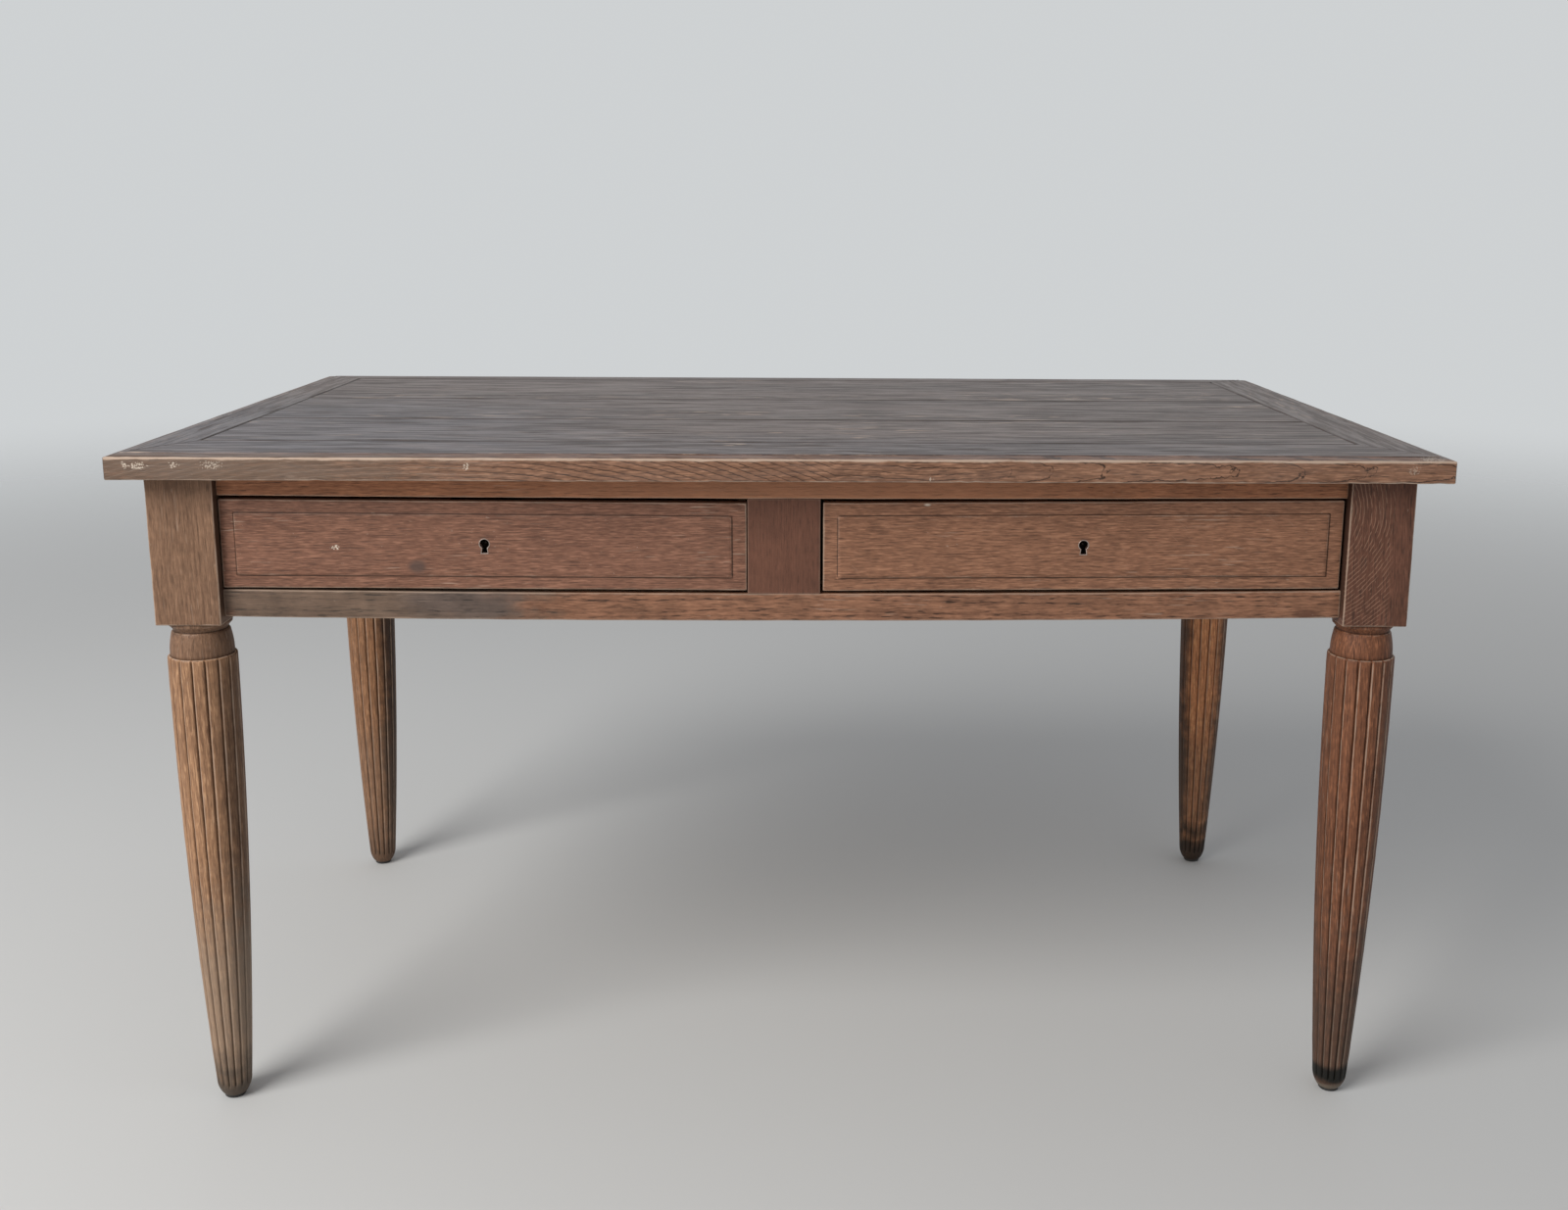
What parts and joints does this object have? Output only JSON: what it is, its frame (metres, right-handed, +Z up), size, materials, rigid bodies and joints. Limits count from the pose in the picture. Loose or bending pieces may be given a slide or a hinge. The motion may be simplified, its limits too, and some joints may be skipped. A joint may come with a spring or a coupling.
{
  "type": "table",
  "caption": "Wooden table with a framed plank top, lockable drawers in the front and turned, reeded legs under square blocks.",
  "frame": {"origin": "on the floor under the middle of the top", "axes": "+X to the right along the length, +Y to the back, +Z up; the drawers face -Y"},
  "size_m": [1.4, 0.8, 0.757],
  "materials": {
    "body_oak": "aged red-brown oak, waxed, with worn arrises",
    "top_oak": "dark grey-brown oak, satin wax, scratched",
    "inner_wood": "bare planed wood, darkened by age",
    "steel": "dull aged steel",
    "brass": "tarnished brass",
    "black_nylon": "matt black nylon"
  },
  "bodies": {
    "frame": {"top_front_board": "top_oak", "top_back_board": "top_oak", "top_left_board": "top_oak", "top_right_board": "top_oak", "front_plank": "top_oak", "middle_plank": "top_oak", "back_plank": "top_oak", "mitre_splines": "inner_wood", "front_left_leg": "body_oak", "front_right_leg": "body_oak", "back_left_leg": "body_oak", "back_right_leg": "body_oak", "front_left_glide": "black_nylon", "front_right_glide": "black_nylon", "back_left_glide": "black_nylon", "back_right_glide": "black_nylon", "upper_front_rail": "body_oak", "lower_front_rail": "body_oak", "centre_stile": "body_oak", "left_apron": "body_oak", "right_apron": "body_oak", "back_apron": "body_oak", "centre_bearer": "inner_wood", "centre_guide": "inner_wood", "centre_kicker": "inner_wood", "left_runner": "inner_wood", "right_runner": "inner_wood", "left_guide": "inner_wood", "right_guide": "inner_wood", "left_kicker": "inner_wood", "right_kicker": "inner_wood", "drawer_stops": "inner_wood", "top_screws": "steel", "top_buttons": "inner_wood", "button_screws": "steel"},
    "left_drawer": {"left_drawer_front": "body_oak", "left_drawer_left_side": "inner_wood", "left_drawer_right_side": "inner_wood", "left_drawer_back": "inner_wood", "left_drawer_bottom": "inner_wood", "left_drawer_nails": "steel", "left_lock_case": "steel", "left_key_pin": "steel", "left_lock_screws": "steel", "left_keyhole_liner": "brass"},
    "right_drawer": {"right_drawer_front": "body_oak", "right_drawer_left_side": "inner_wood", "right_drawer_right_side": "inner_wood", "right_drawer_back": "inner_wood", "right_drawer_bottom": "inner_wood", "right_drawer_nails": "steel", "right_lock_case": "steel", "right_key_pin": "steel", "right_lock_screws": "steel", "right_keyhole_liner": "brass"},
    "left_bolt": {"left_lock_bolt": "steel"},
    "right_bolt": {"right_lock_bolt": "steel"}
  },
  "joints": [
    {"name": "left_drawer_slide", "type": "slide", "parent": "frame", "child": "left_drawer", "axis": [0, -1, 0], "range_m": [0, 0.4]},
    {"name": "right_drawer_slide", "type": "slide", "parent": "frame", "child": "right_drawer", "axis": [0, -1, 0], "range_m": [0, 0.4]},
    {"name": "left_bolt_slide", "type": "slide", "parent": "left_drawer", "child": "left_bolt", "axis": [0, 0, 1], "range_m": [0, 0.008]},
    {"name": "right_bolt_slide", "type": "slide", "parent": "right_drawer", "child": "right_bolt", "axis": [0, 0, 1], "range_m": [0, 0.008]}
  ]
}
